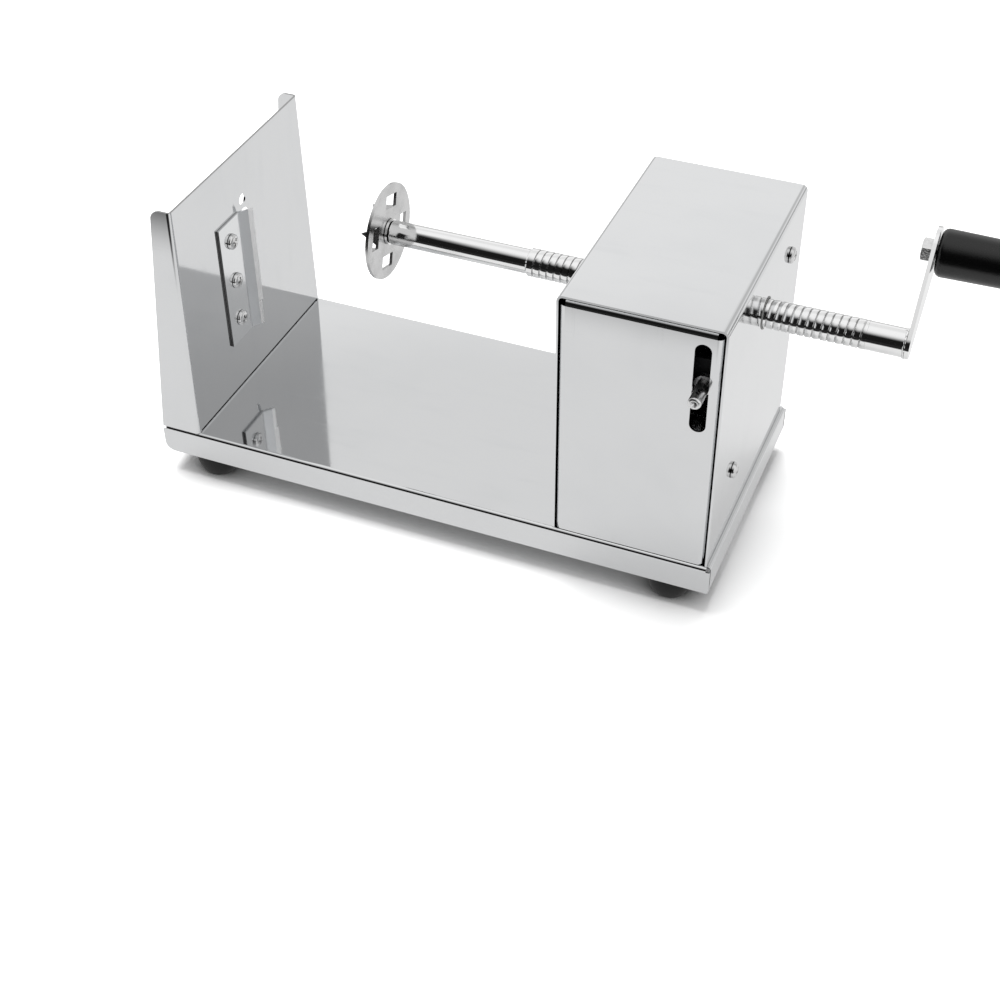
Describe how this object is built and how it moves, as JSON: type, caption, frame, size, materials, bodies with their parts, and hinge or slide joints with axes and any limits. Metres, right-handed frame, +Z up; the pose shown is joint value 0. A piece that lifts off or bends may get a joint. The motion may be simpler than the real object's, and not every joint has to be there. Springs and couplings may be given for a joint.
{
  "type": "hand cranked spiral slicer",
  "caption": "Hand cranked spiral potato cutter: folded steel tray on feet, end plate with a raised blade, pronged disc on a threaded rod, boxed feed mechanism and a side crank.",
  "frame": {"origin": "on the surface it stands on, under the middle of the whole object's box", "axes": "+X along the rod towards the crank, -Y the side with the release pin, +Z up"},
  "size_m": [0.4382, 0.1414, 0.165],
  "materials": {
    "polished_sheet": "mirror polished stainless sheet",
    "blade_steel": "finely ground stainless strip with a bright cutting edge",
    "rod_steel": "polished turned steel",
    "fastener_steel": "bright plated steel",
    "lever_steel": "blackened steel, matt",
    "spring_steel": "drawn spring wire",
    "nut_brass": "machined brass",
    "bush_plastic": "plain moulded nylon",
    "grip_plastic": "black moulded plastic, semi gloss",
    "foot_rubber": "matt black rubber"
  },
  "bodies": {
    "stand": {"base_tray": "polished_sheet", "foot_screws": "fastener_steel", "foot_nuts": "fastener_steel", "end_plate": "polished_sheet", "end_plate_screws": "fastener_steel", "end_plate_nuts": "fastener_steel", "blade": "blade_steel", "blade_screws": "fastener_steel", "blade_nuts": "fastener_steel", "housing_wrap": "polished_sheet", "front_panel": "polished_sheet", "back_panel": "polished_sheet", "housing_screws": "fastener_steel", "housing_nuts": "fastener_steel", "side_screws": "fastener_steel", "front_bush": "bush_plastic", "rear_bush": "bush_plastic", "pivot_rod": "fastener_steel", "anchor_rod": "fastener_steel", "spring": "spring_steel", "foot_front_left": "foot_rubber", "foot_back_left": "foot_rubber", "foot_front_right": "foot_rubber", "foot_back_right": "foot_rubber"},
    "lever": {"release_lever": "lever_steel", "half_nut": "nut_brass", "half_nut_screws": "lever_steel", "release_pin": "fastener_steel", "release_pin_nut": "fastener_steel"},
    "carrier": {"disc_washer": "rod_steel"},
    "spindle": {"lead_screw": "rod_steel", "prong_disc": "rod_steel", "crank_arm": "rod_steel", "grip_bolt": "fastener_steel", "grip_nut": "fastener_steel"},
    "handle": {"grip": "grip_plastic"}
  },
  "joints": [
    {"name": "feed_slide", "type": "slide", "parent": "stand", "child": "carrier", "axis": [1, 0, 0], "range_m": [-0.05435, 0.07885]},
    {"name": "crank_spin", "type": "hinge", "parent": "carrier", "child": "spindle", "pos_m": [0.13275, 0.00375, 0.127], "axis": [1, 0, 0], "range_deg": [-5580, 8100]},
    {"name": "grip_spin", "type": "hinge", "parent": "spindle", "child": "handle", "pos_m": [0.17705, 0.03921, 0.15372], "axis": [1, 0, 0], "continuous": true},
    {"name": "lever_lift", "type": "hinge", "parent": "stand", "child": "lever", "pos_m": [0.06295, 0.04345, 0.134], "axis": [-1, 0, 0], "range_deg": [0, 8.5], "stiffness_Nm_per_rad": 0.8, "springref_deg": -17.19, "deforming": ["spring"]}
  ],
  "couplings": [
    {"joint": "feed_slide", "follows": "crank_spin", "m_per_rad": 0.00055704}
  ]
}
